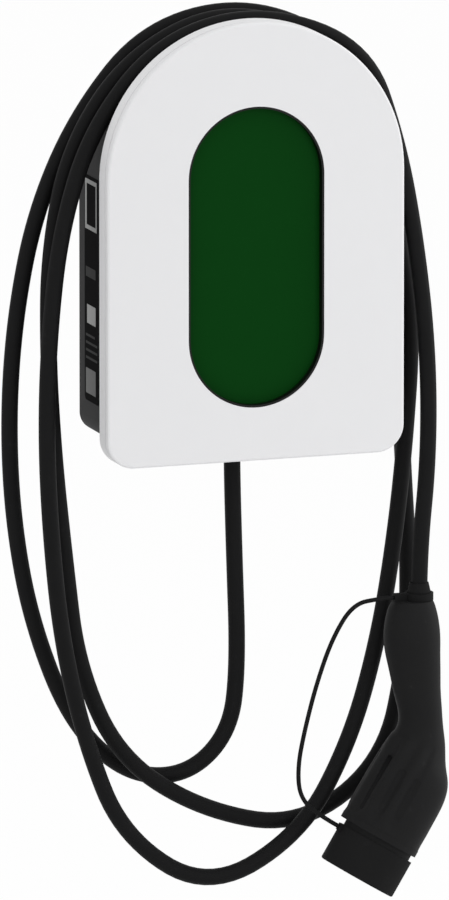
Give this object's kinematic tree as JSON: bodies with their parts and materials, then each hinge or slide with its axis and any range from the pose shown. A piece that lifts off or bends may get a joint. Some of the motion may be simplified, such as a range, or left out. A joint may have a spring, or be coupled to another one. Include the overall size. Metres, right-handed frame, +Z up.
{
  "type": "electric vehicle wall charger",
  "caption": "Wall charging box with an arched pale cover, a green pill window, a dark body, and a cable wound round it that ends in a capped plug.",
  "frame": {"origin": "centre of the four wall screw holes, on the wall plane", "axes": "+X to the viewer's right, +Z up, the wall is the plane Y = 0 and the front faces -Y"},
  "size_m": [0.3469, 0.1345, 0.7079],
  "materials": {
    "cover_plastic": "fine satin",
    "body_plastic": "fine grain",
    "seal_rubber": "matte",
    "light_guide": "gloss",
    "window_plastic": "satin gloss",
    "circuit_board": "satin",
    "relay_case": "satin",
    "module_case": "satin",
    "header_plastic": "satin",
    "ribbon_plastic": "satin",
    "terminal_plastic": "satin",
    "sensor_case": "satin",
    "core_insulation": "satin",
    "gland_plastic": "satin",
    "cable_sheath": "satin",
    "connector_plastic": "fine grain",
    "carrier_plastic": "satin",
    "contact_metal": "plated",
    "cap_rubber": "matte",
    "screw_steel": "satin"
  },
  "bodies": {
    "box": {"rear_housing": "body_plastic", "housing_gasket": "seal_rubber", "inner_lid": "body_plastic", "front_cover": "cover_plastic", "light_ring": "light_guide", "window_panel": "window_plastic", "display_board": "circuit_board", "main_board": "circuit_board", "relays": "relay_case", "power_module": "module_case", "board_header": "header_plastic", "ribbon_lead": "ribbon_plastic", "output_terminal": "terminal_plastic", "supply_terminal": "terminal_plastic", "residual_current_sensor": "sensor_case", "cable_cores": "core_insulation", "outlet_gland_body": "gland_plastic", "outlet_gland_seal": "seal_rubber", "outlet_gland_nut": "gland_plastic", "outlet_gland_locknut": "gland_plastic", "supply_gland_body": "gland_plastic", "supply_gland_seal": "seal_rubber", "supply_gland_nut": "gland_plastic", "supply_gland_locknut": "gland_plastic", "charging_cable": "cable_sheath", "connector_shell_front": "connector_plastic", "connector_shell_back": "connector_plastic", "connector_neck": "cap_rubber", "nose_shell": "carrier_plastic", "contact_carrier": "carrier_plastic", "power_contacts": "contact_metal", "pilot_contacts": "contact_metal", "tether_ring": "cap_rubber", "cap_tether": "cap_rubber", "lid_screws": "screw_steel", "cover_screws": "screw_steel", "main_board_screws": "screw_steel", "display_board_screws": "screw_steel", "connector_screws": "screw_steel"},
    "cap": {"dust_cap": "cap_rubber"}
  },
  "joints": [
    {"name": "cap_pull", "type": "slide", "parent": "box", "child": "cap", "axis": [-0.5195, 0, -0.8545], "range_m": [0, 0.045]}
  ]
}
